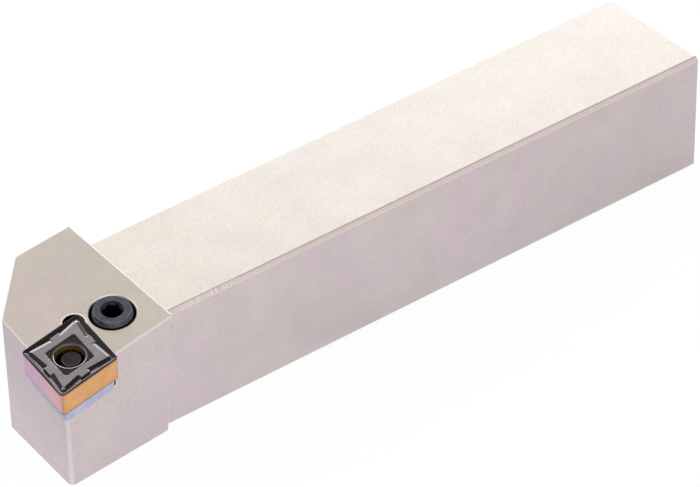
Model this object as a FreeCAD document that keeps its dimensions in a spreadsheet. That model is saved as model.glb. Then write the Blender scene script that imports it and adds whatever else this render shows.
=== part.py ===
"""Right-hand turning tool holder with a lever that clamps an 80 degree rhombic insert.

The holder lies on its shank's base. The origin is the centre of that base, +X runs
along the shank away from the cutting tip, +Y points away from the side that cuts,
and +Z is up. All lengths are millimetres and all angles are degrees.

The insert, its shim, the pin, the lever and the screw are built upright and then
share one tilted frame, the seat: its origin is the middle of the insert's top, its
X runs along the cutting edge and its Z is the insert's own axis.
"""

import FreeCAD, Part
import math
import os
import re

import Sketcher
from FreeCAD import Placement, Rotation, Vector


SIZES = {
    # shank
    "shank_width": 25,
    "shank_height": 25,
    "shank_top_chamfer": 0.7,
    "shank_base_chamfer": 1.2,
    "shank_end_chamfer": 0.5,
    # place of the cutting tip: from the rear end, from the shank, from the far side, from the base
    "tip_reach": 150,
    "head_length": 25,
    "tip_offset": 32,
    "tip_height": 25,
    "lead_angle": 5,
    "seat_dip": 6,
    # head of the holder
    "side_setback": 1.42,
    "side_lean": 6.9,
    "front_setback": 1.33,
    "front_lean": 6.3,
    "corner_setback": 13.8,
    "corner_angle": 45,
    "corner_lean": 0.7,
    "back_advance": 0.74,
    "back_turn": 1.0,
    "back_lean": 2.35,
    "head_drop": 0.35,
    "nose_rounding": 1.0,
    "head_edge_break": 0.25,
    # stock for the cuts to take off, and how far cuts run past it
    "stock_margin": 2,
    "stock_rise": 12,
    "overrun": 3,
    # insert
    "insert_circle": 12.7,
    "insert_angle": 80,
    "insert_thickness": 4.76,
    "insert_hole": 5.16,
    "insert_hole_bevel": 0.4,
    "nose_radius": 0.8,
    "edge_land": 0.25,
    "edge_slope": 0.6,
    "breaker_depth": 0.3,
    "plateau_tip_inset": 1.3,
    "plateau_waist_inset": 1.95,
    "plateau_tab_inset": 1.05,
    "plateau_tab_width": 1.85,
    "plateau_draft": 20,
    "recess_inset": 3.03,
    "recess_depth": 0.2,
    "recess_corner": 0.45,
    # shim and the gap that the pocket's walls leave
    "shim_thickness": 3.18,
    "shim_circle": 11.8,
    "shim_setback": 0.39,
    "shim_corner": 0.8,
    "shim_draft": 6,
    "seat_gap": 0.02,
    "relief_diameter": 4.0,
    "relief_from_back_wall": 1.55,
    "relief_from_side_wall": 0.9,
    "relief_depth": 0.4,
    "pocket_overrun": 8,
    # sleeve that pins the shim
    "pin_outside": 6.5,
    "pin_inside": 5.2,
    "pin_length": 5.8,
    "pin_slit": 1.3,
    "pin_edge_break": 0.25,
    "pin_drop": 0.2,
    "pin_fit": 0.01,
    # lever
    "lever_head": 4.5,
    "lever_head_length": 1.6,
    "lever_tip": 3.3,
    "lever_tip_drop": 1.2,
    "lever_tip_bevel": 0.9,
    "lever_neck": 3.5,
    "lever_neck_taper": 0.8,
    "lever_arm": 3.7,
    "lever_wall_gap": 0.04,
    "foot_depth": 13.0,
    "foot_thickness": 3.6,
    "foot_width": 5.6,
    "foot_prong": 1.4,
    "foot_rounding": 0.8,
    "heel_rounding": 2.6,
    "foot_play": 0.12,
    "foot_floor_gap": 0.15,
    "foot_side_gap": 0.4,
    "foot_rise": 0.8,
    "elbow_width": 5.0,
    "elbow_fit": 0.05,
    # screw
    "screw_reach": 12.34,
    "screw_bearing": 11.9,
    "screw_bore": 8.1,
    "screw_proud": 0.4,
    "screw_collar": 7.3,
    "screw_face": 6.5,
    "screw_bevel": 0.9,
    "screw_neck": 4.8,
    "screw_neck_gap": 0.3,
    "screw_thread": 7.35,
    "screw_thread_gap": 0.05,
    "screw_length": 25,
    "screw_end_bevel": 0.8,
    "socket_across_flats": 3.0,
    "socket_depth": 4.0,
    "socket_mouth": 4.1,
    "bore_edge_break": 0.25,
}


# Lengths closer than this count as equal when edges are picked.
CLOSE = 0.001

doc = FreeCAD.newDocument("turning_tool_holder")
sheet = doc.addObject("Spreadsheet::Sheet", "sizes")
for row, (alias, number) in enumerate(SIZES.items(), start=1):
    sheet.set("A%d" % row, alias)
    sheet.set("B%d" % row, str(number))
    sheet.setAlias("B%d" % row, alias)
doc.recompute()


def size(expression):
    """Value of an expression in the sheet's names."""
    return float(sheet.evalExpression(named(expression)))


def named(expression):
    """The expression with each of the sheet's names written as the document needs it."""
    return re.sub("[a-z_]+", lambda word: "sizes." + word[0] if word[0] in SIZES else word[0], expression)


def bind(thing, **properties):
    """Ties properties of an object to expressions in the sheet's names."""
    for name, expression in properties.items():
        thing.setExpression(name, named(expression))


def new_body(label, placement=Placement()):
    body = doc.addObject("PartDesign::Body", label)
    body.Label = label
    body.Placement = placement
    return body


def plane(body, role):
    return next(f for f in body.Origin.OriginFeatures if f.Role == role)


def new_sketch(body, name, role="XY_Plane", offset=Placement()):
    sketch = body.newObject("Sketcher::SketchObject", name)
    sketch.AttachmentSupport = [(plane(body, role), "")]
    sketch.MapMode = "FlatFace"
    sketch.AttachmentOffset = offset
    return sketch


def place_point(sketch, geometry, point, x, y):
    """Fixes one point of a sketch at two expressions."""
    for kind, expression in (("DistanceX", x), ("DistanceY", y)):
        rule = Sketcher.Constraint(kind, -1, 1, geometry, point, size(expression))
        index = sketch.addConstraint(rule)
        bind(sketch, **{"Constraints[%d]" % index: expression})


def draw_outline(sketch, corners):
    """A closed outline of straight lines through corners given as expressions."""
    first = sketch.GeometryCount
    points = [Vector(size(x), size(y), 0) for x, y in corners]
    count = len(points)
    for i in range(count):
        sketch.addGeometry(Part.LineSegment(points[i], points[(i + 1) % count]), False)
    for i in range(count):
        following = first + (i + 1) % count
        sketch.addConstraint(Sketcher.Constraint("Coincident", first + i, 2, following, 1))
    for i, (x, y) in enumerate(corners):
        place_point(sketch, first + i, 1, x, y)


def draw_circle(sketch, diameter, x="0", y="0"):
    centre = Vector(size(x), size(y), 0)
    circle = sketch.addGeometry(Part.Circle(centre, Vector(0, 0, 1), size(diameter) / 2), False)
    rule = Sketcher.Constraint("Diameter", circle, size(diameter))
    bind(sketch, **{"Constraints[%d]" % sketch.addConstraint(rule): diameter})
    place_point(sketch, circle, 3, x, y)


def pad(body, sketch, length, reverse=False, both_ways=False):
    feature = body.newObject("PartDesign::Pad", sketch.Name + "_pad")
    feature.Profile = sketch
    feature.Reversed = reverse
    if both_ways:
        feature.SideType = "Symmetric"
    bind(feature, Length=length)
    doc.recompute()
    return feature


def cut(body, sketch, length, upward=False):
    """Cuts below the sketch's plane, or above it."""
    before = body.Shape.Volume
    feature = body.newObject("PartDesign::Pocket", sketch.Name + "_cut")
    feature.Profile = sketch
    feature.Reversed = upward
    bind(feature, Length=length)
    doc.recompute()
    if not feature.Shape.Volume < before:
        raise RuntimeError(sketch.Name + " cuts nothing")
    return feature


def revolve(body, sketch):
    """A full turn of the sketch about its own vertical axis."""
    feature = body.newObject("PartDesign::Revolution", sketch.Name + "_turned")
    feature.Profile = sketch
    feature.ReferenceAxis = (sketch, ["V_Axis"])
    feature.Angle = 360
    doc.recompute()
    return feature


def edges_where(body, test):
    """Names of the edges, in the body's own frame, that pass the test."""
    return ["Edge%d" % (i + 1) for i, edge in enumerate(body.Tip.Shape.Edges) if test(edge)]


def dress(body, kind, edges, amount, name):
    """Rounds or bevels the named edges of the body's last feature."""
    if not edges:
        raise RuntimeError(name + " finds no edge")
    base = body.Tip
    feature = body.newObject("PartDesign::" + kind, name)
    feature.Base = (base, edges)
    bind(feature, **{"Radius" if kind == "Fillet" else "Size": amount})
    body.Tip = feature
    doc.recompute()
    if "Invalid" in feature.State:
        raise RuntimeError(name + " fails")
    return feature


def steepness(edge):
    """How much of the straight way between an edge's ends runs along Z: 1 is upright."""
    chord = edge.Vertexes[-1].Point - edge.Vertexes[0].Point
    return abs(chord.z) / chord.Length if chord.Length > 0 else 0


def along_z(edge):
    return steepness(edge) > 0.999


def is_round(edge):
    return edge.Curve.TypeId == "Part::GeomCircle"


def middle(edge):
    first, last = edge.ParameterRange
    return edge.valueAt((first + last) / 2)


# Where the shank's rear end stands along X. Its front end is as far the other way.
REAR = "( tip_reach - head_length ) / 2"

TIP = Vector(
    size(REAR + " - tip_reach"),
    size("shank_width / 2 - tip_offset"),
    size("tip_height"),
)

# The seat: a frame that dips towards the tip along both horizontal directions.
NOSE_SPAN = "(insert_circle / 2 - nose_radius) / sin(insert_angle / 2)"


def seat_frame():
    slope = math.tan(math.radians(size("seat_dip")))
    normal = Vector(-slope, -slope, 1).normalize()
    lead = math.radians(size("lead_angle"))
    edge = Vector(math.cos(lead), math.sin(lead), slope * (math.cos(lead) + math.sin(lead)))
    turn = Rotation(edge.normalize(), Vector(), normal, "ZXY")
    nose = TIP + Vector(size("nose_radius"), size("nose_radius"), 0)
    half_angle = math.radians(size("insert_angle / 2"))
    inward = turn.multVec(Vector(math.cos(half_angle), math.sin(half_angle), 0))
    return Placement(nose + inward * size(NOSE_SPAN), turn)


SEAT = seat_frame()


def in_seat(depth, bearing="0", reach="0"):
    """The seat's frame, turned to a bearing, moved out along it and down its axis."""
    turned = SEAT.multiply(Placement(Vector(), Rotation(Vector(0, 0, 1), size(bearing))))
    return turned.multiply(Placement(Vector(size(reach), 0, -size(depth)), Rotation()))


def side_point(turn, inset, along):
    """A point by one side of the insert's rhombus, as a pair of expressions.

    The side runs at the angle turn. The point lies inset inside it, and along from
    where the inscribed circle touches it.
    """
    radius = "( insert_circle / 2 - (%s) )" % inset
    x = "%s * sin(%s) + (%s) * cos(%s)" % (radius, turn, along, turn)
    y = "0 - %s * cos(%s) + (%s) * sin(%s)" % (radius, turn, along, turn)
    return x, y


# Each side's direction, and the half angles of the corners at its start and end.
ACUTE = "insert_angle / 2"
OBTUSE = "90 - insert_angle / 2"
SIDES = [
    ("0", ACUTE, OBTUSE),
    ("insert_angle", OBTUSE, ACUTE),
    ("180", ACUTE, OBTUSE),
    ("180 + insert_angle", OBTUSE, ACUTE),
]


def rhombus(inset):
    """The insert's outline moved inwards."""
    corner = "0 - ( insert_circle / 2 - (%s) ) / tan(%s)"
    return [side_point(turn, inset, corner % (inset, start)) for turn, start, _ in SIDES]


def plateau_outline():
    """Four arms that reach for the corners, and a tab at the middle of each side."""
    corners = []
    for turn, start, end in SIDES:
        radius = "( insert_circle / 2 - plateau_tip_inset )"
        tip = "0 - %s / tan(%s)" % (radius, start)
        middle_of_side = "insert_circle / 4 * ( 1 / tan(%s) - 1 / tan(%s) )" % (end, start)
        for inset, along in (
            ("plateau_tip_inset", tip),
            ("plateau_waist_inset", middle_of_side + " - plateau_tab_width / 2"),
            ("plateau_tab_inset", middle_of_side + " - plateau_tab_width / 2"),
            ("plateau_tab_inset", middle_of_side + " + plateau_tab_width / 2"),
            ("plateau_waist_inset", middle_of_side + " + plateau_tab_width / 2"),
        ):
            corners.append(side_point(turn, inset, along))
    return corners


def shave(body, name, point, outward):
    """Cuts the head flat: takes off all that lies outward of the point."""
    turn = Rotation(Vector(0, 0, 1), outward)
    sketch = new_sketch(body, name, offset=Placement(point, turn))
    high = "( tip_offset + tip_height )"
    low = "0 - " + high
    draw_outline(sketch, [(low, low), (high, low), (high, high), (low, high)])
    cut(body, sketch, high, upward=True)


def leaning(bearing, lean):
    """An outward normal at a bearing in plan, turned down by the lean."""
    around = math.radians(bearing)
    down = math.radians(lean)
    flat = math.cos(down)
    return Vector(flat * math.cos(around), flat * math.sin(around), -math.sin(down))


def make_holder():
    body = new_body("holder_body")

    # Head: a block with a face cut for each side.
    plan = new_sketch(body, "head_plan")
    back = "stock_margin - " + REAR
    front = REAR + " - tip_reach - stock_margin"
    near = "shank_width / 2 - tip_offset - stock_margin"
    far = "shank_width / 2"
    draw_outline(plan, [(front, near), (back, near), (back, far), (front, far)])
    pad(body, plan, "tip_height + stock_rise")
    lead = size("lead_angle")
    side = TIP + Vector(0, size("side_setback"), 0)
    shave(body, "side_face", side, leaning(lead - 90, size("side_lean")))
    nose = TIP + Vector(size("front_setback"), 0, 0)
    shave(body, "front_face", nose, leaning(180 - lead, size("front_lean")))
    corner = Vector(TIP.x + size("corner_setback"), size("shank_width / 2"), TIP.z)
    corner_bearing = 180 - size("corner_angle")
    shave(body, "corner_face", corner, leaning(corner_bearing, -size("corner_lean")))
    root = Vector(
        size("back_advance - " + REAR),
        size("shank_width / 2"),
        size("shank_height"),
    )
    shave(body, "back_face", root, leaning(size("back_turn"), -size("back_lean")))
    top = in_seat("head_drop")
    shave(body, "top_face", top.Base, SEAT.Rotation.multVec(Vector(0, 0, 1)))

    near_limit = size("0 - shank_width / 2")
    front_limit = TIP.x + size("insert_circle / 2")

    def nose_edge(edge):
        """The upright edge where the side and the front faces meet."""
        centre = middle(edge)
        return centre.y < near_limit and centre.x < front_limit and edge.Length > size("tip_height / 2")

    dress(body, "Fillet", edges_where(body, nose_edge), "nose_rounding", "nose_edge")

    def above_base(edge):
        return middle(edge).z > size("head_edge_break")

    dress(body, "Chamfer", edges_where(body, above_base), "head_edge_break", "head_edges")

    # Shank: a square bar with its long edges and its rear end bevelled.
    section = new_sketch(body, "shank_section", "YZ_Plane")
    half = "shank_width / 2"
    right = []
    for y, z in (
        (half + " - shank_base_chamfer", "0"),
        (half, "shank_base_chamfer"),
        (half, "shank_height - shank_top_chamfer"),
        (half + " - shank_top_chamfer", "shank_height"),
    ):
        right.append((y, z))
    left = [("0 - (%s)" % y, z) for y, z in reversed(right)]
    draw_outline(section, right + left)
    pad(body, section, "2 * " + REAR, both_ways=True)

    def rear_edge(edge):
        return abs(middle(edge).x - size(REAR)) < CLOSE

    dress(body, "Chamfer", edges_where(body, rear_edge), "shank_end_chamfer", "shank_end_edges")

    # Pocket: two walls at the insert's back sides, open to the front and the near side.
    floor = "insert_thickness + shim_thickness"
    pocket = new_sketch(body, "pocket", offset=in_seat(floor))
    wall = "0 - seat_gap"
    to_acute = "( insert_circle / 2 + seat_gap ) / tan(%s)" % ACUTE
    long_way = "insert_circle + pocket_overrun"
    draw_outline(pocket, [
        side_point("insert_angle", wall, to_acute),
        side_point("180", wall, long_way),
        side_point("0", "0 - pocket_overrun", "0 - ( %s )" % long_way),
        side_point("insert_angle", wall, "0 - ( %s )" % long_way),
    ])
    cut(body, pocket, floor + " + overrun", upward=True)

    relief = new_sketch(body, "relief", offset=in_seat(floor + " + relief_depth"))
    relief_x, relief_y = relief_centre()
    draw_circle(relief, "relief_diameter", relief_x, relief_y)
    cut(body, relief, floor + " + relief_depth + overrun", upward=True)

    # Lever: a bore under the insert, and a channel for the foot towards the screw.
    channel_floor = "foot_depth + foot_thickness / 2 + foot_floor_gap"
    bore = new_sketch(body, "lever_bore", offset=in_seat(channel_floor))
    draw_circle(bore, "pin_outside + 2 * pin_fit")
    cut(body, bore, channel_floor, upward=True)
    channel = new_sketch(body, "foot_channel", offset=in_seat(channel_floor, "screw_bearing"))
    half_width = "foot_width / 2 + foot_side_gap"
    draw_outline(channel, [
        ("0", "0 - (%s)" % half_width), ("screw_reach", "0 - (%s)" % half_width),
        ("screw_reach", half_width), ("0", half_width),
    ])
    cut(body, channel, "foot_thickness + foot_floor_gap + foot_rise", upward=True)

    # Screw: a clear bore down to the channel and a threaded hole on through the base.
    clear = new_sketch(body, "screw_bore", offset=in_seat(channel_floor, "screw_bearing", "screw_reach"))
    draw_circle(clear, "screw_bore")
    cut(body, clear, channel_floor + " + overrun", upward=True)
    thread = new_sketch(body, "screw_hole", offset=in_seat(channel_floor, "screw_bearing", "screw_reach"))
    draw_circle(thread, "screw_thread + 2 * screw_thread_gap")
    cut(body, thread, "tip_height")

    def bore_rim(edge):
        """The round edge that the screw's bore leaves in the head's top."""
        depth = top.inverse().multVec(middle(edge)).z
        return is_round(edge) and edge.isClosed() and abs(depth) < CLOSE

    dress(body, "Chamfer", edges_where(body, bore_rim), "bore_edge_break", "bore_rim")
    return body


def relief_centre():
    """Where the relief hole stands, from the pocket's back wall and its side wall."""
    in_from_side = "insert_circle / 2 - relief_from_side_wall"
    in_from_back = "insert_circle / 2 - relief_from_back_wall"
    x = "( %s + (%s) * cos(insert_angle) ) / sin(insert_angle)" % (in_from_back, in_from_side)
    return x, in_from_side


def make_insert():
    """Upper half of the insert, with its chip breaker, mirrored to the lower half."""
    body = new_body("cutting_insert", in_seat("insert_thickness / 2"))
    top = Placement(Vector(0, 0, size("insert_thickness / 2")), Rotation())
    floor = Placement(Vector(0, 0, size("insert_thickness / 2 - breaker_depth")), Rotation())

    blank = new_sketch(body, "blank")
    draw_outline(blank, rhombus("0"))
    pad(body, blank, "insert_thickness / 2")

    # Groove behind the edge: a land, a slope and a flat floor.
    rim = new_sketch(body, "groove_rim", offset=top)
    draw_outline(rim, rhombus("edge_land"))
    foot = new_sketch(body, "groove_foot", offset=floor)
    draw_outline(foot, rhombus("edge_land + edge_slope"))
    groove = body.newObject("PartDesign::SubtractiveLoft", "groove")
    groove.Profile = rim
    groove.Sections = [foot]
    groove.Ruled = True
    doc.recompute()

    def groove_corner(edge):
        return 0.1 < steepness(edge) < 0.9

    dress(body, "Fillet", edges_where(body, groove_corner), "nose_radius - edge_land", "groove_corners")
    dress(body, "Fillet", edges_where(body, along_z), "nose_radius", "noses")

    # Plateau: what the insert stands on when it is turned over.
    plateau = new_sketch(body, "plateau", offset=floor)
    draw_outline(plateau, plateau_outline())
    raised = pad(body, plateau, "breaker_depth")
    bind(raised, TaperAngle="0 - plateau_draft")

    recess = new_sketch(body, "recess", offset=top)
    draw_outline(recess, rhombus("recess_inset"))
    cut(body, recess, "recess_depth")
    recess_top = size("insert_thickness / 2")

    def recess_corner(edge):
        centre = middle(edge)
        inside = math.hypot(centre.x, centre.y) < size("insert_circle / 2 - plateau_tip_inset")
        return along_z(edge) and inside and centre.z > recess_top - size("recess_depth")

    dress(body, "Fillet", edges_where(body, recess_corner), "recess_corner", "recess_corners")

    hole = new_sketch(body, "hole", offset=top)
    draw_circle(hole, "insert_hole")
    cut(body, hole, "insert_thickness")

    def hole_rim(edge):
        if not is_round(edge) or middle(edge).z < size("insert_thickness / 4"):
            return False
        return abs(edge.Curve.Radius - size("insert_hole / 2")) < CLOSE

    dress(body, "Chamfer", edges_where(body, hole_rim), "insert_hole_bevel", "hole_rim")

    both = body.newObject("PartDesign::Mirrored", "both_faces")
    both.MirrorPlane = (plane(body, "XY_Plane"), [""])
    both.TransformMode = "Whole shape"
    body.Tip = both
    doc.recompute()
    return body


def make_shim():
    """Carbide plate under the insert, its sides drawn in towards the floor."""
    body = new_body("shim", in_seat("insert_thickness"))
    sketch = new_sketch(body, "shim_outline")
    back_x = "shim_setback * cos(insert_angle / 2)"
    back_y = "shim_setback * sin(insert_angle / 2)"
    corners = rhombus("( insert_circle - shim_circle ) / 2")
    draw_outline(sketch, [(x + " + " + back_x, y + " + " + back_y) for x, y in corners])
    plate = pad(body, sketch, "shim_thickness", reverse=True)
    bind(plate, TaperAngle="0 - shim_draft")
    doc.recompute()

    def corner(edge):
        return steepness(edge) > 0.5

    dress(body, "Fillet", edges_where(body, corner), "shim_corner", "shim_corners")
    hole = new_sketch(body, "shim_hole")
    draw_circle(hole, "pin_outside + 2 * pin_fit")
    cut(body, hole, "shim_thickness")
    return body


def make_pin():
    """Slit spring sleeve that holds the shim and lets the lever through."""
    body = new_body("shim_pin", in_seat("insert_thickness + pin_drop", "screw_bearing"))
    ring = new_sketch(body, "pin_ring")
    draw_circle(ring, "pin_outside")
    draw_circle(ring, "pin_inside")
    pad(body, ring, "pin_length", reverse=True)

    def outer_rim(edge):
        return is_round(edge) and edge.Curve.Radius > size("pin_outside / 2") - CLOSE

    dress(body, "Chamfer", edges_where(body, outer_rim), "pin_edge_break", "pin_rims")
    slit = new_sketch(body, "pin_slit")
    half = "pin_slit / 2"
    draw_outline(slit, [
        ("0 - pin_outside", "0 - " + half), ("0", "0 - " + half), ("0", half), ("0 - pin_outside", half),
    ])
    cut(body, slit, "pin_length")
    return body


CLAMP_OFFSET = "( insert_hole - lever_head ) / 2 - lever_wall_gap"


def make_lever():
    """L-shaped lever: an arm with a barrel head, and a foot that the screw's collar presses."""
    body = new_body("clamp_lever", in_seat("0", "screw_bearing", CLAMP_OFFSET))
    profile = new_sketch(body, "arm_profile", "XZ_Plane")
    head_top = "0 - lever_tip_drop - lever_tip_bevel"
    head_low = head_top + " - lever_head_length"
    neck_top = head_low + " - lever_neck_taper"
    arm_top = "0 - insert_thickness - lever_neck_taper"
    arm_low = "0 - foot_depth"
    draw_outline(profile, [
        ("0", "0 - lever_tip_drop"), ("lever_tip / 2", "0 - lever_tip_drop"),
        ("lever_head / 2", head_top), ("lever_head / 2", head_low),
        ("lever_neck / 2", neck_top), ("lever_neck / 2", arm_top),
        ("lever_arm / 2", arm_top + " - lever_neck_taper"), ("lever_arm / 2", arm_low), ("0", arm_low),
    ])
    revolve(body, profile)

    screw_centre = "screw_reach - ( %s )" % CLAMP_OFFSET
    foot_end = screw_centre + " - foot_prong"
    foot = new_sketch(body, "foot_plan", offset=Placement(Vector(0, 0, -size("foot_depth")), Rotation()))
    half = "foot_width / 2"
    draw_outline(foot, [("0 - " + half, "0 - " + half), (foot_end, "0 - " + half),
                        (foot_end, half), ("0 - " + half, half)])
    pad(body, foot, "foot_thickness", both_ways=True)

    def heel(edge):
        return along_z(edge) and middle(edge).x < 0 and abs(middle(edge).y) > size("lever_arm / 2")

    def foot_corner(edge):
        return along_z(edge) and middle(edge).x > size("lever_arm")

    dress(body, "Fillet", edges_where(body, heel), "heel_rounding", "heel_round")
    dress(body, "Fillet", edges_where(body, foot_corner), "foot_rounding", "foot_corners")

    def heel_edge(edge):
        return abs(middle(edge).z - size("0 - foot_depth - foot_thickness / 2")) < CLOSE

    dress(body, "Fillet", edges_where(body, heel_edge), "foot_rounding", "foot_underside")

    # Round elbow that rests on the channel's floor: the lever rocks about its axis.
    elbow = new_sketch(body, "elbow", "XZ_Plane")
    draw_circle(elbow, "foot_thickness + 2 * ( foot_floor_gap - elbow_fit )", "0", "0 - foot_depth")
    pad(body, elbow, "elbow_width", both_ways=True)

    notch = new_sketch(body, "foot_notch", offset=Placement(Vector(0, 0, -size("foot_depth / 2")), Rotation()))
    draw_circle(notch, "screw_neck + 2 * screw_neck_gap", screw_centre)
    cut(body, notch, "foot_depth")
    return body


def make_screw():
    """Lever screw: bevelled collar with a hexagon socket, neck for the foot, threaded end."""
    body = new_body("lever_screw", in_seat("0", "screw_bearing", "screw_reach"))
    profile = new_sketch(body, "screw_profile", "XZ_Plane")
    collar_low = "0 - foot_depth + foot_thickness / 2 + foot_play"
    thread_top = "0 - foot_depth - foot_thickness / 2 - foot_play"
    end = "screw_proud - screw_length"
    draw_outline(profile, [
        ("0", "screw_proud"), ("screw_face / 2", "screw_proud"),
        ("screw_collar / 2", "screw_proud - screw_bevel"), ("screw_collar / 2", collar_low),
        ("screw_neck / 2", collar_low), ("screw_neck / 2", thread_top),
        ("screw_thread / 2", thread_top), ("screw_thread / 2", end + " + screw_end_bevel"),
        ("screw_thread / 2 - screw_end_bevel", end), ("0", end),
    ])
    revolve(body, profile)

    # Hexagon socket with a conical mouth.
    face = Placement(Vector(0, 0, size("screw_proud")), Rotation())
    socket = new_sketch(body, "socket", offset=face)
    across_corners = "socket_across_flats / cos(30)"
    hexagon = [("%s / 2 * cos(%d)" % (across_corners, turn), "%s / 2 * sin(%d)" % (across_corners, turn))
               for turn in range(0, 360, 60)]
    draw_outline(socket, hexagon)
    cut(body, socket, "socket_depth")
    mouth = new_sketch(body, "socket_mouth", "XZ_Plane")
    depth = "( socket_mouth - socket_across_flats ) / 2"
    draw_outline(mouth, [
        ("0", "screw_proud"), ("socket_mouth / 2", "screw_proud"),
        ("socket_across_flats / 2", "screw_proud - ( %s )" % depth),
        ("0", "screw_proud - ( %s )" % depth),
    ])
    cone = body.newObject("PartDesign::Groove", "socket_cone")
    cone.Profile = mouth
    cone.ReferenceAxis = (mouth, ["V_Axis"])
    cone.Angle = 360
    body.Tip = cone
    doc.recompute()
    return body


PIECES = [make_holder, make_insert, make_shim, make_pin, make_lever, make_screw]
bodies = [make() for make in PIECES]
doc.recompute()

for thing in doc.Objects:
    if "Invalid" in thing.State or "Error" in thing.State:
        raise RuntimeError(thing.Name + " is " + str(thing.State))
for body in bodies:
    if body.Shape.isNull() or not body.Shape.isValid():
        raise RuntimeError(body.Label + " has no valid shape")

os.makedirs("parts", exist_ok=True)
for body in bodies:
    body.Shape.exportStep("parts/%s.step" % body.Label)
    box = body.Shape.BoundBox
    print("%-16s %d solid %10.2f mm3  x %.2f..%.2f  y %.2f..%.2f  z %.2f..%.2f" % (
        body.Label, len(body.Shape.Solids), body.Shape.Volume,
        box.XMin, box.XMax, box.YMin, box.YMax, box.ZMin, box.ZMax))
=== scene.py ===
"""Looks of the indexable turning tool holder: materials, a detailed insert, light and camera.

Numbers that describe the part are millimetres and degrees in the CAD model's frame. They become
metres where a mesh is made or a shader node is set. Numbers of the stage are metres.
"""

import math

import bpy
import numpy as np
from mathutils import Matrix, Vector


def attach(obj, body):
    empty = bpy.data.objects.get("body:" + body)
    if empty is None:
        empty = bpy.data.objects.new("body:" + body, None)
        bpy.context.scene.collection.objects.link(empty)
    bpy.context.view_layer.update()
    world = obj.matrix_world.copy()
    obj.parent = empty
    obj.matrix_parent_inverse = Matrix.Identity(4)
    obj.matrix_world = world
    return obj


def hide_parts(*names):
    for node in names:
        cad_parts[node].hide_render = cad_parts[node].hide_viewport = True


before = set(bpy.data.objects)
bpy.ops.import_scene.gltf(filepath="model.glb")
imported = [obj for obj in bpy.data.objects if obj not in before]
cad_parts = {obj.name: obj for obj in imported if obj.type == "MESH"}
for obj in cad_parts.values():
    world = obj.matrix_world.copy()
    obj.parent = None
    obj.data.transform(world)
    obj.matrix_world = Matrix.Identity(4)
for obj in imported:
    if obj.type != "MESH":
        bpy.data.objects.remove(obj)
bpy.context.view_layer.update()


MM = 0.001

# Seat of the insert: the tip's place, the cutting edge's bearing and the dip.
TIP = Vector((-87.5, -19.5, 25.0))
LEAD_ANGLE = 5.0
SEAT_DIP = 6.0

# Insert's outline, hole and cutting edge.
INSERT_CIRCLE = 12.7
INSERT_ANGLE = 80.0
INSERT_THICKNESS = 4.76
NOSE_RADIUS = 0.8
HOLE_RADIUS = 2.58
HOLE_BEVEL = 0.4
HONE = 0.06

# Insert's faces: a land along the edge, a groove, and a plateau with four arms, four tabs, two
# small domes before the acute corners and a recess. Insets are measured from the edge.
LAND_AT_NOSE = 0.20
LAND_AT_MIDDLE = 0.34
LAND_ROUNDING = 0.035
EDGE_SLOPE = 0.42
GROOVE_DEPTH = 0.27
GROOVE_ROUNDING = 0.06
ARM_TIP_INSET = 1.42
WAIST_INSET = 2.08
ARM_WALL_SLOPE = 0.25
ARM_WALL_WIDTH = 0.58
ARM_WALL_DROP = 0.8
TAB_INSET = 1.14
TAB_WIDTH = 1.95
TAB_WALL_SLOPE = 1.5
PLATEAU_ROUNDING = 0.12
CREST_ROUNDING = 0.02
NUB_INSET = 1.32
NUB_RADIUS = 0.46
NUB_DROP = 0.12
NUB_FLAT = 0.75
RECESS_INSET = 3.03
RECESS_CORNER = 0.45
RECESS_DEPTH = 0.2
RECESS_WALL = 0.1

# Bores in the head, in the seat's frame: the axis, the radius, how far below the insert's top
# the painted shade begins, and how far the painted highlight of the rim reaches past the radius.
SCREW_X = 12.34 * math.cos(math.radians(11.9))
SCREW_Y = 12.34 * math.sin(math.radians(11.9))
SCREW_BORE = (SCREW_X, SCREW_Y, 4.05, 0.75, 0.24)
RELIEF_HOLE = (5.835, 5.45, 2.0, 0.45, 0.20)
SOCKET_MOUTH = 4.15

# Holder: where the head ends, the height of the shank's top, z - y at the shank's near top
# bevel, and the stretch of that bevel that shows the cutter's marks.
HEAD_END = -61.8
SHANK_TOP = 25.0
BEVEL_REACH = 36.8
MARKS_START = -57.0
MARKS_END = -43.0

# Rounding that the Bevel nodes show at the edges.
HOLDER_ROUNDING = 0.28
OXIDE_WEAR = 0.12
OXIDE_ROUNDING = 0.06
SHIM_ROUNDING = 0.08
BEVEL_SAMPLES = 6

# Camera, fitted to the photograph's straight edges.
PHOTO_WIDTH = 700
CAMERA_AZIMUTH = -38.6007
CAMERA_ELEVATION = 36.4847
CAMERA_ROLL = 0.4386
CAMERA_FOCAL_PIXELS = 5266.5
CAMERA_TARGET = Vector((-9.784, 0.0, 9.231))
CAMERA_DISTANCE = 944.15
SENSOR_WIDTH = 36.0


def seat_matrix():
    """The seat's frame: origin in the middle of the insert's top, X along the cutting edge."""
    slope = math.tan(math.radians(SEAT_DIP))
    normal = Vector((-slope, -slope, 1.0)).normalized()
    lead = math.radians(LEAD_ANGLE)
    edge = Vector((math.cos(lead), math.sin(lead), slope * (math.cos(lead) + math.sin(lead))))
    edge.normalize()
    across = normal.cross(edge)
    nose = TIP + Vector((NOSE_RADIUS, NOSE_RADIUS, 0.0))
    half = math.radians(INSERT_ANGLE / 2)
    inward = edge * math.cos(half) + across * math.sin(half)
    origin = nose + inward * (INSERT_CIRCLE / 2 - NOSE_RADIUS) / math.sin(half)
    turn = Matrix((edge, across, normal)).transposed().to_4x4()
    return Matrix.Translation(origin) @ turn


SEAT = seat_matrix()


# Shader nodes

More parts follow.
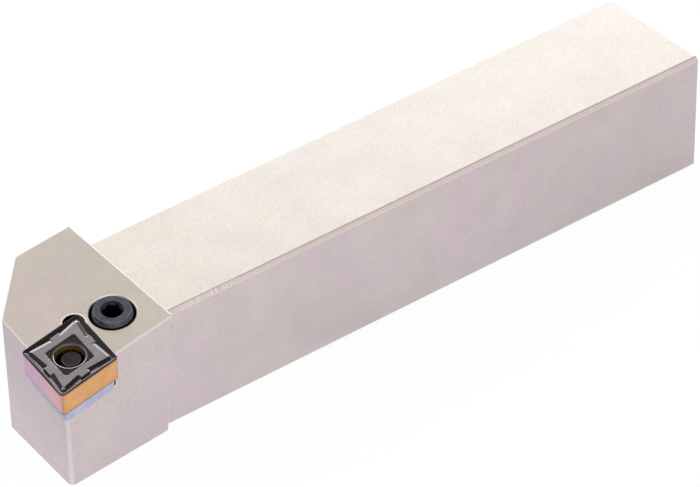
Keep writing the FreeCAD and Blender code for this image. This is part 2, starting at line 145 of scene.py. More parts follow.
def node(tree, kind, **values):
    """Adds a shader node; a value that is a socket is linked, and any other is set.

    A key names an input, or counts it, as in0 does. The node's own settings come first.
    """
    made = tree.nodes.new(kind)
    for name, value in values.items():
        if name in ("operation", "noise_dimensions"):
            setattr(made, name, value)
            continue
        counted = name.startswith("in") and name[2:].isdigit()
        socket = made.inputs[int(name[2:]) if counted else name.replace("_", " ")]
        if isinstance(value, bpy.types.NodeSocket):
            tree.links.new(value, socket)
        else:
            socket.default_value = value
    return made


def new_material(name):
    material = bpy.data.materials.new(name)
    material.use_nodes = True
    tree = material.node_tree
    return material, tree, tree.nodes["Principled BSDF"]


def position(tree):
    return tree.nodes.new("ShaderNodeTexCoord").outputs["Object"]


def face_normal(tree):
    return tree.nodes.new("ShaderNodeNewGeometry").outputs["True Normal"]


def attribute(tree, name):
    made = tree.nodes.new("ShaderNodeAttribute")
    made.attribute_name = name
    return made.outputs["Fac"]


def split(tree, vector):
    return node(tree, "ShaderNodeSeparateXYZ", Vector=vector).outputs


def noise(tree, size, detail=2.0, stretch=None):
    """Noise whose features are about size millimetres across, from 0 to 1."""
    place = position(tree)
    if stretch:
        place = node(tree, "ShaderNodeMapping", Vector=place, Scale=stretch).outputs["Vector"]
    scale = 1 / (size * MM)
    made = node(tree, "ShaderNodeTexNoise", Vector=place, Scale=scale, Detail=detail, Roughness=0.6)
    return made.outputs["Fac"]


def ramp(tree, factor, low, high, clamp=True):
    """Maps 0..1 to low..high."""
    made = node(tree, "ShaderNodeMapRange", Value=factor, To_Min=low, To_Max=high)
    made.clamp = clamp
    return made.outputs["Result"]


def window(tree, factor, start, end):
    """0 up to start, 1 from end on; start may be the larger of the two."""
    made = node(tree, "ShaderNodeMapRange", Value=factor, From_Min=start, From_Max=end)
    return made.outputs["Result"]


def math_node(tree, operation, a, b):
    return node(tree, "ShaderNodeMath", operation=operation, in0=a, in1=b).outputs[0]


def product(tree, first, *others):
    for other in others:
        first = math_node(tree, "MULTIPLY", first, other)
    return first


def largest(tree, first, *others):
    for other in others:
        first = math_node(tree, "MAXIMUM", first, other)
    return first


def dot(tree, a, b):
    made = node(tree, "ShaderNodeVectorMath", operation="DOT_PRODUCT", in0=a, in1=b)
    return made.outputs["Value"]


def mix_colour(tree, factor, a, b, blend="MIX"):
    """Mixes two colours, each a tuple or a socket."""
    made = tree.nodes.new("ShaderNodeMix")
    made.data_type = "RGBA"
    made.blend_type = blend
    for index, value in ((0, factor), (6, a), (7, b)):
        if isinstance(value, bpy.types.NodeSocket):
            tree.links.new(value, made.inputs[index])
        else:
            made.inputs[index].default_value = value if index == 0 else (*value, 1.0)
    return made.outputs[2]


def multiply(tree, a, b):
    """Product of two colours."""
    return mix_colour(tree, 1.0, a, b, "MULTIPLY")


def patches(tree, texture, a, b, start=0.3, end=0.7):
    """Colour a where a noise is low and b where it is high, with soft borders."""
    return mix_colour(tree, window(tree, texture, start, end), a, b)


def grey(value):
    return value, value, value


def bevelled(tree, radius):
    """Normal with its edges rounded to a radius in millimetres."""
    made = node(tree, "ShaderNodeBevel", Radius=radius * MM)
    made.samples = BEVEL_SAMPLES
    return made.outputs[0]


def turned_edge(tree, corner, start):
    """1 where a bevelled normal leaves its face's own; start is the cosine where that begins."""
    return window(tree, dot(tree, corner, face_normal(tree)), start, 0.95)


def set_roughness(tree, shader, base, texture, spread):
    """Roughness of a base value, with a fine texture that changes it by the spread."""
    fine = ramp(tree, texture, -spread, spread, False)
    tree.links.new(math_node(tree, "ADD", base, fine), shader.inputs["Roughness"])


def bump(tree, shader, height, depth, normal=None):
    """Bump of a depth in millimetres, over a bevelled normal where one is given."""
    made = node(tree, "ShaderNodeBump", Height=height, Distance=depth * MM, Strength=1.0)
    if normal is not None:
        tree.links.new(normal, made.inputs["Normal"])
    tree.links.new(made.outputs["Normal"], shader.inputs["Normal"])


# Bores

def seat_point(x, y):
    """A point in metres from its place on the plane of the insert's top."""
    return SEAT @ Vector((x, y, 0.0)) * MM


def bore_place(tree, x, y):
    """Distance from a bore's axis, and height above the insert's top, in metres."""
    offset = node(
        tree, "ShaderNodeVectorMath", operation="SUBTRACT", in0=position(tree), in1=seat_point(x, y)
    ).outputs[0]
    height = dot(tree, offset, SEAT.to_3x3() @ Vector((0, 0, 1)))
    across = math_node(tree, "SUBTRACT", dot(tree, offset, offset), product(tree, height, height))
    return math_node(tree, "SQRT", across, 0.0), height


def painted_bore_shade_mask(tree, bore):
    """1 on a bore's wall, where painted shade blackens it."""
    x, y, radius, depth, _ = bore
    distance, height = bore_place(tree, x, y)
    near = window(tree, distance, (radius + 0.12) * MM, (radius + 0.02) * MM)
    return product(tree, near, window(tree, height, -depth * MM, -(depth + 0.3) * MM))


def painted_rim_highlight_mask(tree, bore):
    """1 on a bore's rim, where a painted highlight brightens it."""
    x, y, radius, depth, rim = bore
    distance, height = bore_place(tree, x, y)
    near = window(tree, distance, (radius + rim + 0.04) * MM, (radius + rim) * MM)
    return product(tree, near, window(tree, height, -(depth + 0.05) * MM, -depth * MM))


# Materials

def plated_steel():
    """Holder: satin nickel plate over blasted steel, with fine grain and faint clouds."""
    material, tree, shader = new_material("plated_steel")
    clouds = noise(tree, 9.0, 4.0)
    tints = noise(tree, 14.0, 3.0, (1.0, 1.3, 0.8))
    grain = noise(tree, 0.24, 3.0)
    x, y, z = split(tree, position(tree))
    face = face_normal(tree)
    corner = bevelled(tree, HOLDER_ROUNDING)
    on_head = window(tree, x, (HEAD_END + 0.1) * MM, (HEAD_END - 0.1) * MM)

    warm = patches(tree, clouds, (0.618, 0.558, 0.524), (0.662, 0.600, 0.562), 0.35, 0.65)
    cool = patches(tree, clouds, (0.624, 0.554, 0.546), (0.662, 0.590, 0.582), 0.35, 0.65)
    pale = patches(tree, tints, warm, cool, 0.4, 0.6)

    # The grain is strongest on the shank's top and faintest on the head's, whose top it also makes
    # a little darker.
    on_top = window(tree, split(tree, face)[2], 0.90, 0.95)
    head_top = product(tree, on_top, on_head)
    shank_top = math_node(tree, "SUBTRACT", on_top, head_top)
    low = mix_colour(tree, head_top, grey(0.77), grey(0.78))
    low = mix_colour(tree, shank_top, low, grey(0.745))
    high = mix_colour(tree, head_top, grey(1.02), grey(0.94))
    high = mix_colour(tree, shank_top, high, grey(1.04))
    speck = patches(tree, grain, low, high)
    mottle = patches(tree, noise(tree, 1.3, 3.0), (0.965, 0.96, 0.96), grey(1.0))
    colour = multiply(tree, multiply(tree, pale, speck), mottle)

    # Edges: painted highlights where they look towards the near side and the rear, less so along
    # the shank, and on the head's front corner. The head's far edges get a painted dark reflection.
    turned = turned_edge(tree, corner, 0.999)
    near_side = window(tree, dot(tree, corner, Vector((0.6, -0.75, 0.3))), -0.35, 0.4)
    front = window(tree, dot(tree, face, Vector((-0.735, -0.678, 0.0))), 0.78, 0.99)
    edge_highlight = largest(tree, product(tree, turned, near_side), product(tree, front, 0.42))
    below_head = window(tree, z, (SHANK_TOP + 0.1) * MM, (SHANK_TOP + 0.05) * MM)
    behind_head = window(tree, x, (HEAD_END - 0.1) * MM, (HEAD_END + 0.1) * MM)
    on_shank = product(tree, behind_head, below_head)
    reach = math_node(tree, "SUBTRACT", z, y)
    along = window(tree, reach, (BEVEL_REACH - 0.5) * MM, (BEVEL_REACH - 0.3) * MM)
    edge_highlight = product(tree, edge_highlight, ramp(tree, clouds, 0.6, 1.0))
    edge_highlight = product(tree, edge_highlight, ramp(tree, product(tree, along, on_shank), 1.0, 0.45))
    colour = mix_colour(tree, edge_highlight, colour, (1.0, 0.95, 0.93))
    # Painted dark reflection along the head's far top edges.
    front_far = window(tree, dot(tree, corner, Vector((-0.7, 0.7, 0.0))), 0.06, 0.20)
    far = window(tree, dot(tree, corner, Vector((0.35, 0.937, 0.0))), -0.08, 0.0)
    painted_dark_edge = product(tree, turned, front_far, far, on_head)
    colour = mix_colour(tree, painted_dark_edge, colour, (0.13, 0.11, 0.10))

    # Near top bevel of the shank: a painted dark reflection in brown along it, and cutter's marks
    # towards the head.
    on_bevel = window(tree, reach, (BEVEL_REACH - 0.02) * MM, (BEVEL_REACH + 0.02) * MM)
    on_bevel = product(tree, on_bevel, on_shank)
    painted_dark_line = window(tree, z, (SHANK_TOP - 0.2) * MM, (SHANK_TOP - 0.1) * MM)
    colour = mix_colour(tree, product(tree, painted_dark_line, on_bevel, 0.8), colour, (0.28, 0.21, 0.16))
    comb = node(
        tree, "ShaderNodeTexNoise", noise_dimensions="1D", W=x, Scale=1 / (0.28 * MM), Detail=1.0
    )
    marks = product(
        tree,
        window(tree, comb.outputs["Fac"], 0.52, 0.62),
        window(tree, x, MARKS_START * MM, (MARKS_START + 2.0) * MM),
        window(tree, x, MARKS_END * MM, (MARKS_END - 3.0) * MM),
        on_bevel,
    )
    colour = mix_colour(tree, marks, colour, (0.92, 0.88, 0.87))

    # Bores: a painted highlight on each rim, and painted shade that blackens each wall.
    painted_rim_highlights = largest(tree, painted_rim_highlight_mask(tree, SCREW_BORE), painted_rim_highlight_mask(tree, RELIEF_HOLE))
    colour = mix_colour(tree, product(tree, painted_rim_highlights, 0.85), colour, (1.0, 0.97, 0.94))
    painted_bore_shade = largest(tree, painted_bore_shade_mask(tree, SCREW_BORE), painted_bore_shade_mask(tree, RELIEF_HOLE))
    colour = mix_colour(tree, painted_bore_shade, colour, (0.022, 0.016, 0.012))

    tree.links.new(colour, shader.inputs["Base Color"])
    shader.inputs["Metallic"].default_value = 1.0
    set_roughness(tree, shader, ramp(tree, clouds, 0.30, 0.37), grain, 0.04)
    bump(tree, shader, grain, 0.007, corner)
    return material


def coated_carbide():
    """Insert: black groove and edge, ground grey plateau, gold and rose flanks, gold bore that
    painted shade blackens further down.
    """
    material, tree, shader = new_material("coated_carbide")
    fine = noise(tree, 0.10, 3.0)
    clouds = noise(tree, 1.8, 3.0)
    flank = attribute(tree, "flank")
    plateau = attribute(tree, "plateau")
    hole_ring = attribute(tree, "ring")
    bore = attribute(tree, "bore")
    side = attribute(tree, "side_face")

    black = mix_colour(tree, clouds, (0.004, 0.002, 0.004), (0.008, 0.005, 0.008))
    ground = patches(tree, clouds, (0.158, 0.152, 0.168), (0.196, 0.189, 0.207))
    gold = patches(tree, clouds, (0.57, 0.305, 0.115), (0.64, 0.365, 0.155))
    nose = attribute(tree, "towards_nose")
    lilac = mix_colour(tree, nose, (0.50, 0.36, 0.54), (0.74, 0.42, 0.36))
    rose = patches(tree, clouds, lilac, (0.66, 0.46, 0.47))
    flanks = mix_colour(tree, side, gold, rose)

    # Brown along the flanks' upper and lower edges and at their corners.
    brown = mix_colour(tree, side, (0.42, 0.20, 0.09), (0.44, 0.26, 0.28))
    corner = product(tree, side, math_node(tree, "SUBTRACT", 1.0, side))
    rim = largest(tree, attribute(tree, "flank_rim"), product(tree, corner, 3.2))
    flanks = mix_colour(tree, product(tree, rim, ramp(tree, clouds, 0.5, 1.0)), flanks, brown)

    colour = mix_colour(tree, flank, mix_colour(tree, plateau, black, ground), flanks)
    colour = mix_colour(tree, hole_ring, colour, (0.12, 0.112, 0.122))
    # The bore's wall: gold coating near the top, blackened further down by painted shade.
    wall = mix_colour(tree, attribute(tree, "deep"), (0.46, 0.21, 0.03), (0.008, 0.006, 0.004))
    colour = mix_colour(tree, bore, colour, wall)
    tree.links.new(colour, shader.inputs["Base Color"])

    metal = largest(tree, flank, plateau, hole_ring, product(tree, bore, 0.55))
    tree.links.new(metal, shader.inputs["Metallic"])
    dull = largest(tree, flank, plateau, product(tree, hole_ring, 0.75))
    set_roughness(tree, shader, ramp(tree, dull, 0.14, 0.29), fine, 0.04)
    shader.inputs["IOR"].default_value = 1.35
    shader.inputs["Specular Tint"].default_value = (1.0, 0.92, 0.96, 1.0)
    bump(tree, shader, fine, 0.0005)
    return material


def ground_carbide():
    """Shim: bluish grey, with faint grinding lines."""
    material, tree, shader = new_material("ground_carbide")
    lines = noise(tree, 0.3, 3.0, (1.0, 1.0, 0.1))
    clouds = noise(tree, 2.0, 3.0)
    colour = patches(tree, clouds, (0.36, 0.39, 0.50), (0.46, 0.49, 0.60))
    tree.links.new(colour, shader.inputs["Base Color"])
    shader.inputs["Metallic"].default_value = 1.0
    tree.links.new(ramp(tree, lines, 0.28, 0.45), shader.inputs["Roughness"])
    bump(tree, shader, lines, 0.002, bevelled(tree, SHIM_ROUNDING))
    return material


def black_oxide(name, light, dark, gloss, socket=None):
    """Oiled black oxide on steel: dark, a little blue, worn in patches and at the edges.

    A socket is the place and the radius of an opening in the seat's frame, with painted shade
    inside.
    """
    material, tree, shader = new_material(name)
    clouds = noise(tree, 1.6, 4.0)
    grain = noise(tree, 0.15, 3.0)
    colour = patches(tree, clouds, dark, light, 0.3, 0.75)
    turned = turned_edge(tree, bevelled(tree, OXIDE_WEAR), 0.998)
    worn = product(tree, turned, ramp(tree, clouds, 0.2, 1.0))
    colour = mix_colour(tree, worn, colour, (0.42, 0.44, 0.50))
    if socket:
        x, y, radius = socket
        distance, _ = bore_place(tree, x, y)
        # Painted shade inside the socket.
        painted_socket_shade = window(tree, distance, (radius + 0.05) * MM, (radius - 0.05) * MM)
        colour = mix_colour(tree, painted_socket_shade, colour, (0.016, 0.017, 0.026))
    tree.links.new(colour, shader.inputs["Base Color"])
    shader.inputs["Metallic"].default_value = 0.85
    set_roughness(tree, shader, ramp(tree, clouds, gloss, gloss + 0.12), grain, 0.03)
    bump(tree, shader, grain, 0.003, bevelled(tree, OXIDE_ROUNDING))
    return material


# Insert's mesh: rings of points that follow the outline inwards, over the groove and the
# plateau to the hole, through it, and back out over the other face.

RADIUS = INSERT_CIRCLE / 2
HALF_ACUTE = math.radians(INSERT_ANGLE / 2)
HALF_OBTUSE = math.pi / 2 - HALF_ACUTE

# Each side: its turn about the middle, and half the corner's angle at its start and its end.
SIDES = (
    (0.0, HALF_ACUTE, HALF_OBTUSE),
    (2 * HALF_ACUTE, HALF_OBTUSE, HALF_ACUTE),
    (math.pi, HALF_ACUTE, HALF_OBTUSE),
    (math.pi + 2 * HALF_ACUTE, HALF_OBTUSE, HALF_ACUTE),
)

# Points along each side: over an arm, over the tab's zone, over the next arm, round the nose.
TAB_ZONE = TAB_WIDTH / 2 + 0.5
TAB_ZONE_POINTS = 34
ARM_POINTS = 26
NOSE_POINTS = 11

# Rows: in the bore, round its bevel, across the recess, and from its wall to the edge.
# Bore rows: how far down, and how much painted shade blackens the wall there.
BORE_ROWS = ((INSERT_THICKNESS / 2, 1.0), (1.9, 1.0), (1.3, 0.55))
BEVEL_ROWS = 9
RECESS_ROWS = 7
RECESS_WALL_ROWS = 7
PLATEAU_ROWS = 12
GROOVE_ROWS = 70
HONE_ROWS = 6
FLANK_ROWS = ((HONE + 0.09, 1.0), (0.45, 0.25), (1.0, 0.0), (INSERT_THICKNESS / 2, 0.0))
ROW_MASKS = ("plateau", "flank", "flank_rim", "ring", "bore", "deep")


def side_middle(start, end):
    """Where a side's middle lies along it, from where the inscribed circle touches it."""
    return RADIUS / 2 * (1 / math.tan(end) - 1 / math.tan(start))


def side_point(turn, inset, along):
    out = RADIUS - inset
    x = out * math.sin(turn) + along * math.cos(turn)
    y = -out * math.cos(turn) + along * math.sin(turn)
    return x, y


def ring(inset, corner_radius):
    """The outline moved inwards, with round corners, as points in order."""
    points = []
    reach = RADIUS - inset
    for turn, start, end in SIDES:
        first = -(reach - corner_radius) / math.tan(start)
        last = (reach - corner_radius) / math.tan(end)
        centre = side_middle(start, end)
        along = np.concatenate([
            np.linspace(first, centre - TAB_ZONE, ARM_POINTS, endpoint=False),
            np.linspace(centre - TAB_ZONE, centre + TAB_ZONE, TAB_ZONE_POINTS, endpoint=False),
            np.linspace(centre + TAB_ZONE, last, ARM_POINTS, endpoint=False),
        ])
        points += [side_point(turn, inset, a) for a in along]
        sweep = math.pi - 2 * end
        centre_x, centre_y = side_point(turn, inset + corner_radius, last)
        for i in range(NOSE_POINTS):
            angle = turn - math.pi / 2 + sweep * i / NOSE_POINTS
            x = centre_x + corner_radius * math.cos(angle)
            points.append((x, centre_y + corner_radius * math.sin(angle)))
    return np.array(points)


def distance_to(points, corners):
    """Signed distance of points to a polygon, negative inside."""
    best = np.full(len(points), np.inf)
    inside = np.zeros(len(points), bool)
    for (ax, ay), (bx, by) in zip(corners, corners[1:] + corners[:1]):
        edge = np.array([bx - ax, by - ay])
        offset = points - (ax, ay)
        share = np.clip(offset @ edge / (edge @ edge), 0, 1)
        best = np.minimum(best, np.linalg.norm(offset - share[:, None] * edge, axis=1))
        if ay != by:
            crosses = (points[:, 1] < ay) != (points[:, 1] < by)
            at = ax + (points[:, 1] - ay) / (by - ay) * (bx - ax)
            inside ^= crosses & (points[:, 0] < at)
    return np.where(inside, -best, best)


def side_corner(turn, inset, start):
    """The corner where a side starts, with the outline moved inwards."""
    return side_point(turn, inset, -(RADIUS - inset) / math.tan(start))


def rhombus(inset):
    return [side_corner(turn, inset, start) for turn, start, _ in SIDES]


def arms():
    """The plateau without its tabs: four arms that narrow towards the corners."""
    corners = []
    for turn, start, end in SIDES:
        corners.append(side_corner(turn, ARM_TIP_INSET + PLATEAU_ROUNDING, start))
        corners.append(side_point(turn, WAIST_INSET + PLATEAU_ROUNDING, side_middle(start, end)))
    return corners


def tabs():
    """One small rectangle at the middle of each side."""
    half = TAB_WIDTH / 2 - PLATEAU_ROUNDING
    outer = TAB_INSET + PLATEAU_ROUNDING
    inner = RECESS_INSET - 0.5
    for turn, start, end in SIDES:
        centre = side_middle(start, end)
        yield [
            side_point(turn, outer, centre - half),
            side_point(turn, outer, centre + half),
            side_point(turn, inner, centre + half),
            side_point(turn, inner, centre - half),
        ]


def nubs():
    """Centres of the small domes between the acute corners and the arms that reach for them."""
    for turn, start, _ in SIDES:
        if start == HALF_ACUTE:
            yield side_corner(turn, NUB_INSET, start)


def soft_max(a, b, width):
    """The larger of two heights, with a round valley where they cross."""
    gap = np.clip(0.5 + (a - b) / (2 * width), 0, 1)
    return b + (a - b) * gap + width * gap * (1 - gap)


def step(value, start, end):
    """Smooth step from 0 at start to 1 at end."""
    share = np.clip((value - start) / (end - start), 0, 1)
    return share * share * (3 - 2 * share)


def land_height(points):
    """Height of the land and of the slope past it, which falls into the groove."""
    inset = -distance_to(points, rhombus(NOSE_RADIUS)) + NOSE_RADIUS
    near_middle = np.zeros(len(points))
    for turn, start, end in SIDES:
        x, y = side_point(turn, 0.0, side_middle(start, end))
        away = np.hypot(points[:, 0] - x, points[:, 1] - y)
        near_middle = np.maximum(near_middle, 1 - away / RADIUS)
    land = LAND_AT_NOSE + (LAND_AT_MIDDLE - LAND_AT_NOSE) * step(near_middle, 0.1, 0.8)
    past = inset - land
    rounded = (past + LAND_ROUNDING) ** 2 / (4 * LAND_ROUNDING)
    return -EDGE_SLOPE * np.where(np.abs(past) < LAND_ROUNDING, rounded, np.maximum(past, 0))


def top_height(points):
    """Height of the insert's face, and how much each point belongs to its flat plateau."""
    flat = distance_to(points, arms()) - PLATEAU_ROUNDING
    raised = -ARM_WALL_SLOPE * flat - ARM_WALL_DROP * np.maximum(flat - ARM_WALL_WIDTH, 0)
    for x, y in nubs():
        away = np.hypot(points[:, 0] - x, points[:, 1] - y) / NUB_RADIUS
        raised = np.maximum(raised, -NUB_DROP * away ** 2)
        flat = np.minimum(flat, (away - NUB_FLAT) * NUB_RADIUS)
    for corners in tabs():
        tab = distance_to(points, corners) - PLATEAU_ROUNDING
        flat = np.minimum(flat, tab)
        raised = np.maximum(raised, -TAB_WALL_SLOPE * tab)
    floor = np.full(len(points), -GROOVE_DEPTH)
    height = soft_max(land_height(points), floor, GROOVE_ROUNDING)
    height = soft_max(height, raised, CREST_ROUNDING)
    height = -soft_max(-height, np.zeros(len(points)), CREST_ROUNDING)
    recess = distance_to(points, rhombus(RECESS_INSET + RECESS_CORNER)) - RECESS_CORNER
    height -= RECESS_DEPTH * step(-recess, 0, RECESS_WALL)
    plateau = step(-flat, -0.03, 0.03) * step(recess, -RECESS_WALL / 2, 0.02)
    return height, plateau


def circle_under(points, radius):
    """Each point moved along its own direction onto a circle."""
    return points * (radius / np.linalg.norm(points, axis=1))[:, None]


def upper_rows():
    """Rows from the middle of the bore up, over the face and down to the middle of the flank."""
    innermost = ring(RECESS_INSET + 0.15, 0.3)
    rim = HOLE_RADIUS + HOLE_BEVEL
    rows = []

    def row(points, height, **masks):
        count = len(points)
        masks = {name: np.broadcast_to(masks.get(name, 0.0), count) for name in ROW_MASKS}
        rows.append((points, np.broadcast_to(height, count), masks))

    for depth, deep in (*BORE_ROWS, (RECESS_DEPTH + HOLE_BEVEL + 0.12, 0.0)):
        row(circle_under(innermost, HOLE_RADIUS), -depth, bore=1.0, deep=deep)
    for angle in np.linspace(0, math.pi / 2, BEVEL_ROWS):
        points = circle_under(innermost, HOLE_RADIUS + HOLE_BEVEL * (1 - math.cos(angle)))
        row(points, -RECESS_DEPTH - HOLE_BEVEL * (1 - math.sin(angle)), ring=1.0)
    for share in np.linspace(0.04, 1, RECESS_ROWS):
        points = circle_under(innermost, rim) * (1 - share) + innermost * share
        height, plateau = top_height(points)
        row(points, height, plateau=plateau)
    insets = np.concatenate([
        np.linspace(RECESS_INSET + 0.1, RECESS_INSET - 0.15, RECESS_WALL_ROWS),
        np.linspace(RECESS_INSET - 0.2, WAIST_INSET, PLATEAU_ROWS, endpoint=False),
        np.linspace(WAIST_INSET, 2 * HONE, GROOVE_ROWS),
    ])
    for inset in insets:
        points = ring(inset, max(NOSE_RADIUS - inset, 0.12))
        height, plateau = top_height(points)
        row(points, height, plateau=plateau)
    for angle in np.linspace(math.pi / 2, 0, HONE_ROWS):
        inset = HONE * (1 - math.cos(angle))
        row(ring(inset, NOSE_RADIUS - inset), -HONE * (1 - math.sin(angle)))
    row(ring(0, NOSE_RADIUS), -HONE - 0.05)
    for depth, edge in FLANK_ROWS:
        row(ring(0, NOSE_RADIUS), -depth, flank=1.0, flank_rim=edge)
    return rows


def side_faces(vertices):
    """1 on the two flanks that look along the shank, 0 on the two that look across it."""
    x, y = vertices[:, 0], vertices[:, 1]
    across = np.abs(y)
    slanted = np.abs(x * math.sin(2 * HALF_ACUTE) - y * math.cos(2 * HALF_ACUTE))
    return step(slanted - across, -0.3, 0.3)


def build_insert():
    """Both faces of the insert, joined at the middle of the flank and of the bore."""
    upper = upper_rows()
    rows = list(upper)
    for points, height, masks in reversed(upper[1:-1]):
        rows.append((points, -INSERT_THICKNESS - height, masks))
    around = len(rows[0][0])
    vertices = np.concatenate([np.column_stack([points, height]) for points, height, _ in rows])
    faces = []
    for r in range(len(rows)):
        this, following = r * around, (r + 1) % len(rows) * around
        for i in range(around):
            j = (i + 1) % around
            faces.append((this + i, this + j, following + j, following + i))
    mesh = bpy.data.meshes.new("insert_face")
    mesh.from_pydata([SEAT @ Vector(v) * MM for v in vertices], [], faces)
    mesh.validate()
    mesh.shade_smooth()
    layers = {name: np.concatenate([masks[name] for _, _, masks in rows]) for name in ROW_MASKS}
    layers["side_face"] = side_faces(vertices)
    layers["towards_nose"] = step(-vertices[:, 1], -4.0, 6.5)
    for name, values in layers.items():
        layer = mesh.attributes.new(name, "FLOAT", "POINT")
        layer.data.foreach_set("value", values.astype(np.float32))
    piece = bpy.data.objects.new("insert", mesh)
    bpy.context.scene.collection.objects.link(piece)
    piece.data.materials.append(coated_carbide())
    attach(piece, "holder")
    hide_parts("cutting_insert")
    return piece


# Pieces carried over from the CAD model

def finish_node(name, material):
    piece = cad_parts[name]
    piece.data.materials.clear()
    piece.data.materials.append(material)


# Stage, in metres

FLOOR_HALF = 6.0
FLOOR_DROP = 0.05 * MM    # below the part's base, so that the two don't fall in one plane

# Brightness of the studio's roof by how far it lies behind the object: -1 before, 1 behind.
ROOF = (
    (-1.0, (1.05, 1.00, 1.02)),
    (-0.55, (1.35, 1.28, 1.28)),
    (-0.25, (0.60, 0.56, 0.54)),
    (0.10, (0.50, 0.47, 0.43)),
    (0.42, (0.94, 0.91, 0.80)),
    (0.62, (1.30, 1.30, 1.22)),
    (1.0, (1.40, 1.38, 1.30)),
)


def mirrored_floor(tree):
    """Glow of the floor in the metal's reflections, painted light: brighter behind the object than
    before.
    """
    x, y, _ = split(tree, position(tree))
    depth = math_node(tree, "ADD", y, product(tree, x, 0.4))
    before = mix_colour(tree, window(tree, x, -0.03, 0.05), (1.21, 1.17, 1.24), (1.06, 1.02, 1.08))
    before = mix_colour(tree, window(tree, x, -0.085, -0.10), before, (0.98, 0.95, 1.03))
    front = product(tree, window(tree, x, -0.118, -0.102), window(tree, x, -0.080, -0.087))
    before = multiply(tree, before, mix_colour(tree, front, grey(1.0), (0.96, 0.96, 0.97)))
    # Painted shadow in the reflections, close to the object's near side.
    close = window(tree, y, -0.035, -0.013)
    before = multiply(tree, before, mix_colour(tree, close, grey(1.03), grey(0.88)))
    return mix_colour(tree, window(tree, depth, 0.02, 0.12), before, (1.9, 1.85, 1.75))


def build_floor():
    """White floor that keeps a soft shadow."""
    mesh = bpy.data.meshes.new("floor")
    signs = ((-1, -1), (1, -1), (1, 1), (-1, 1))
    corners = [(x * FLOOR_HALF, y * FLOOR_HALF, -FLOOR_DROP) for x, y in signs]
    mesh.from_pydata(corners, [], [(0, 1, 2, 3)])
    floor = bpy.data.objects.new("floor", mesh)
    bpy.context.scene.collection.objects.link(floor)
    material, tree, shader = new_material("pale_floor")
    shader.inputs["Base Color"].default_value = (*grey(0.9), 1)
    shader.inputs["Roughness"].default_value = 0.9
    path = tree.nodes.new("ShaderNodeLightPath").outputs
    white = mix_colour(tree, path["Is Glossy Ray"], grey(1.03), mirrored_floor(tree))
    glow = node(tree, "ShaderNodeEmission", Color=white, Strength=1.0)
    seen = largest(tree, path["Is Camera Ray"], path["Is Glossy Ray"])
    mixed = node(tree, "ShaderNodeMixShader", Fac=product(tree, seen, 0.9))
    tree.links.new(shader.outputs["BSDF"], mixed.inputs[1])
    tree.links.new(glow.outputs["Emission"], mixed.inputs[2])
    tree.links.new(mixed.outputs["Shader"], tree.nodes["Material Output"].inputs["Surface"])
    mesh.materials.append(material)


def direction(azimuth, elevation):
    """Unit vector from the part towards an azimuth, counted from -Y towards +X, and elevation."""
    a, e = math.radians(azimuth), math.radians(elevation)
    return Vector((math.sin(a) * math.cos(e), -math.cos(a) * math.cos(e), math.sin(e)))


def area_light(name, back, distance, size, radiance, colour, aim=Vector((0, 0, 0.01))):
    """A soft panel that faces the aim point; radiance 1 is as bright as white."""
    width, height = size
    light = bpy.data.lights.new(name, "AREA")
    light.shape = "RECTANGLE"
    light.size = width
    light.size_y = height
    light.energy = radiance * math.pi * width * height
    light.color = colour
    lamp = bpy.data.objects.new(name, light)
    lamp.location = aim + back * distance
    lamp.rotation_euler = back.to_track_quat("Z", "Y").to_euler()
    lamp.visible_camera = False
    bpy.context.scene.collection.objects.link(lamp)
    return lamp


def light_only(lamp, name, piece):
    """Keeps a lamp's light to one piece."""
    lit = bpy.data.collections.new(name)
    lit.objects.link(piece)
    lamp.light_linking.receiver_collection = lit


def build_world():
    world = bpy.data.worlds.new("studio")
    bpy.context.scene.world = world
    world.use_nodes = True
    tree = world.node_tree
    place = split(tree, tree.nodes.new("ShaderNodeTexCoord").outputs["Generated"])
    roof = node(tree, "ShaderNodeValToRGB", Fac=ramp(tree, place["Y"], 0.5, 1.0, False))
    stops = roof.color_ramp.elements
    while len(stops) < len(ROOF):
        stops.new(0.5)
    for stop, (depth, colour) in zip(stops, ROOF):
        stop.position = (depth + 1) / 2
        stop.color = (*colour, 1.0)
    seen = tree.nodes.new("ShaderNodeLightPath").outputs["Is Camera Ray"]
    colour = mix_colour(tree, seen, roof.outputs["Color"], grey(1.0))
    tree.links.new(colour, tree.nodes["Background"].inputs["Color"])


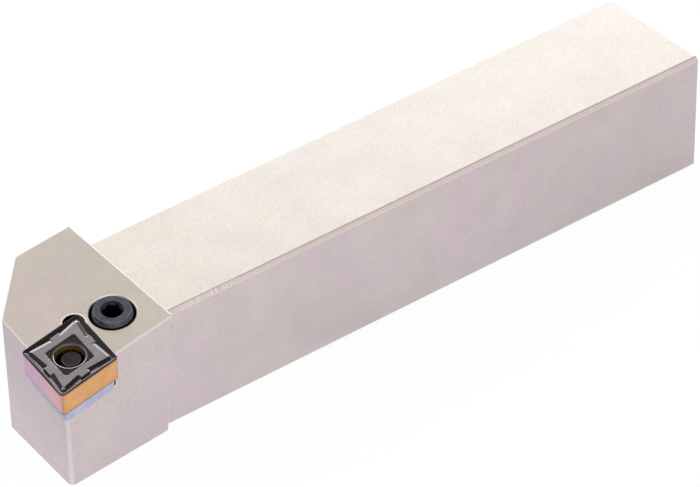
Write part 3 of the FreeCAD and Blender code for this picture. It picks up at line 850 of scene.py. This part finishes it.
def build_lamps(insert):
    """A broad panel behind the part, a strip that the insert mirrors, and a tint at the rear."""
    area_light("back_panel", direction(141, 20), 0.9, (1.4, 0.36), 1.5, (0.94, 1.0, 1.02))
    strip = area_light(
        "back_strip", direction(139, 35.5), 0.88, (1.3, 0.15), 14.0, (1.0, 0.99, 0.98)
    )
    light_only(strip, "insert_piece", insert)
    rear = area_light(
        "rear_panel", direction(141, 36.5), 0.4, (0.2, 0.14), 0.24, (0.45, 0.85, 1.0),
        aim=Vector((0.05, 0, 0.025)),
    )
    light_only(rear, "holder_piece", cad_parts["holder_body"])


def build_camera():
    camera = bpy.data.cameras.new("camera")
    camera.sensor_fit = "HORIZONTAL"
    camera.sensor_width = SENSOR_WIDTH
    camera.lens = CAMERA_FOCAL_PIXELS / PHOTO_WIDTH * SENSOR_WIDTH
    camera.clip_start = 0.01
    camera.clip_end = 50
    back = direction(CAMERA_AZIMUTH, CAMERA_ELEVATION)
    right = Vector((0, 0, 1)).cross(back).normalized()
    up = back.cross(right)
    roll = math.radians(CAMERA_ROLL)
    rolled_right = right * math.cos(roll) - up * math.sin(roll)
    rolled_up = right * math.sin(roll) + up * math.cos(roll)
    turn = Matrix((rolled_right, rolled_up, back)).transposed().to_4x4()
    holder = bpy.data.objects.new("camera", camera)
    place = (CAMERA_TARGET + back * CAMERA_DISTANCE) * MM
    holder.matrix_world = Matrix.Translation(place) @ turn
    bpy.context.scene.collection.objects.link(holder)
    bpy.context.scene.camera = holder


finish_node("holder_body", plated_steel())
finish_node("shim", ground_carbide())
finish_node("shim_pin", black_oxide("spring_steel", (0.20, 0.20, 0.21), (0.10, 0.10, 0.11), 0.3))
finish_node("clamp_lever", black_oxide(
    "lever_oxide", (0.055, 0.052, 0.056), (0.018, 0.017, 0.019), 0.32
))
finish_node("lever_screw", black_oxide(
    "screw_oxide", (0.105, 0.110, 0.142), (0.044, 0.048, 0.068), 0.20,
    (SCREW_X, SCREW_Y, SOCKET_MOUTH / 2),
))
insert = build_insert()
build_floor()
build_world()
build_lamps(insert)
build_camera()
bpy.context.scene.view_settings.view_transform = "Standard"
